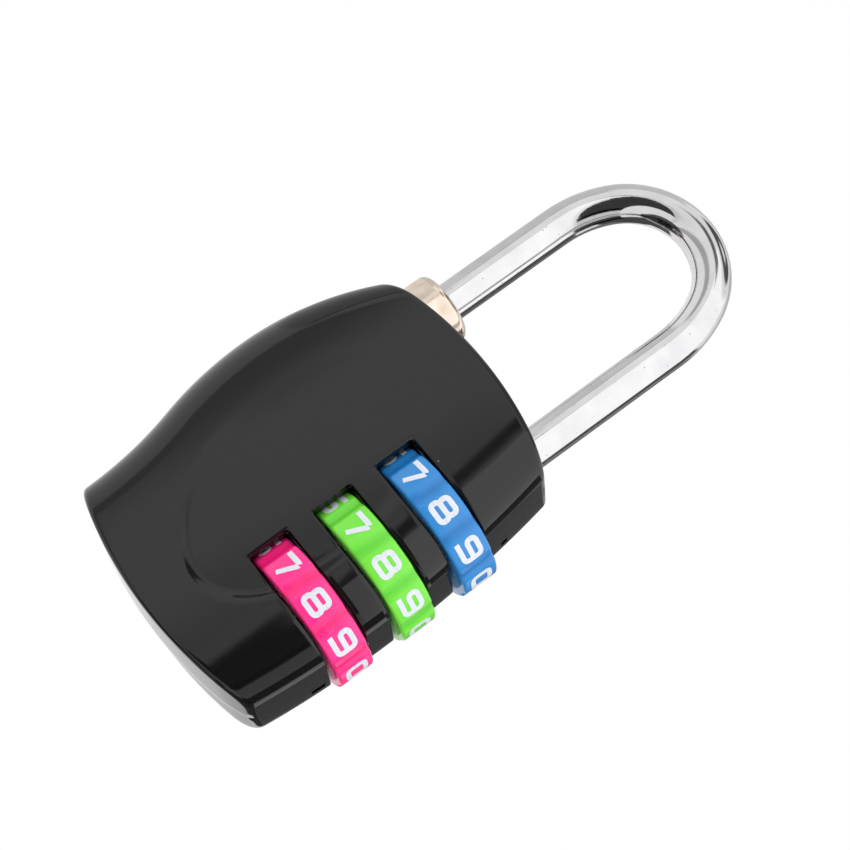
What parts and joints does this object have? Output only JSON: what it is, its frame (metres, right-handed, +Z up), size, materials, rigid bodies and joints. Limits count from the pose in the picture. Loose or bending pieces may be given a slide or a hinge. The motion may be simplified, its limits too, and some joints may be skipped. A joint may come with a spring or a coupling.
{
  "type": "luggage combination padlock",
  "caption": "Resettable number-dial luggage padlock: glossy rounded body, coloured dials through side windows, long round-rod shackle that lifts by one dial pitch.",
  "frame": {"origin": "under the middle of the lock, on the mid-plane between the shells, at the lowest point of the body", "axes": "+Z up along the shackle's legs, +X towards the dials, -Y out of the front face with the oval pad"},
  "size_m": [0.0336, 0.015, 0.0689],
  "materials": {
    "gloss_black_shell": "high-gloss moulded black",
    "shackle_chrome": "bright chrome plate on steel",
    "champagne_nickel": "warm nickel plate on brass",
    "dial_blue": "satin-gloss moulded blue",
    "dial_green": "satin-gloss moulded green",
    "dial_pink": "satin-gloss moulded pink",
    "digit_white": "white filled figures",
    "cast_zinc": "as-cast zinc alloy",
    "turned_brass": "turned brass",
    "plain_steel": "plain steel",
    "spring_steel": "blued spring steel",
    "white_acetal": "natural acetal"
  },
  "bodies": {
    "housing": {"front_shell": "gloss_black_shell", "back_shell": "gloss_black_shell", "shell_pins": "plain_steel", "chassis": "cast_zinc", "chassis_cover": "cast_zinc", "cover_screws": "plain_steel", "ferrule": "champagne_nickel", "leg_bush": "white_acetal", "bottom_plug": "turned_brass", "detent_leaf": "spring_steel", "leaf_rivets": "plain_steel", "dial_washers": "white_acetal", "reset_spring": "spring_steel"},
    "shackle": {"shackle": "shackle_chrome", "leg_pins": "plain_steel"},
    "dial_top": {"dial_top": "dial_blue"},
    "dial_middle": {"dial_middle": "dial_green"},
    "dial_bottom": {"dial_bottom": "dial_pink"},
    "sleeve_top": {"sleeve_top": "turned_brass"},
    "sleeve_middle": {"sleeve_middle": "turned_brass"},
    "sleeve_bottom": {"sleeve_bottom": "turned_brass"},
    "thrust_washer": {"thrust_washer": "plain_steel"}
  },
  "joints": [
    {"name": "shackle_lift", "type": "slide", "parent": "housing", "child": "shackle", "axis": [0, 0, 1], "range_m": [0, 0.00735]},
    {"name": "dial_top_turn", "type": "hinge", "parent": "housing", "child": "dial_top", "pos_m": [0.00933, 0, 0.02745], "axis": [0, 0, 1], "continuous": true},
    {"name": "dial_middle_turn", "type": "hinge", "parent": "housing", "child": "dial_middle", "pos_m": [0.00933, 0, 0.0201], "axis": [0, 0, 1], "continuous": true},
    {"name": "dial_bottom_turn", "type": "hinge", "parent": "housing", "child": "dial_bottom", "pos_m": [0.00933, 0, 0.01275], "axis": [0, 0, 1], "continuous": true},
    {"name": "sleeve_top_press", "type": "slide", "parent": "dial_top", "child": "sleeve_top", "axis": [0, 0, 1], "range_m": [-0.0012, 0], "stiffness_N_per_m": 900, "springref_m": 0.0005, "deforming": ["reset_spring"]},
    {"name": "sleeve_middle_press", "type": "slide", "parent": "dial_middle", "child": "sleeve_middle", "axis": [0, 0, 1], "range_m": [-0.0012, 0]},
    {"name": "sleeve_bottom_press", "type": "slide", "parent": "dial_bottom", "child": "sleeve_bottom", "axis": [0, 0, 1], "range_m": [-0.0012, 0]},
    {"name": "thrust_washer_press", "type": "slide", "parent": "housing", "child": "thrust_washer", "axis": [0, 0, 1], "range_m": [-0.0012, 0]}
  ],
  "couplings": [
    {"joint": "sleeve_middle_press", "follows": "sleeve_top_press", "ratio": 1},
    {"joint": "sleeve_bottom_press", "follows": "sleeve_top_press", "ratio": 1},
    {"joint": "thrust_washer_press", "follows": "sleeve_top_press", "ratio": 1}
  ]
}
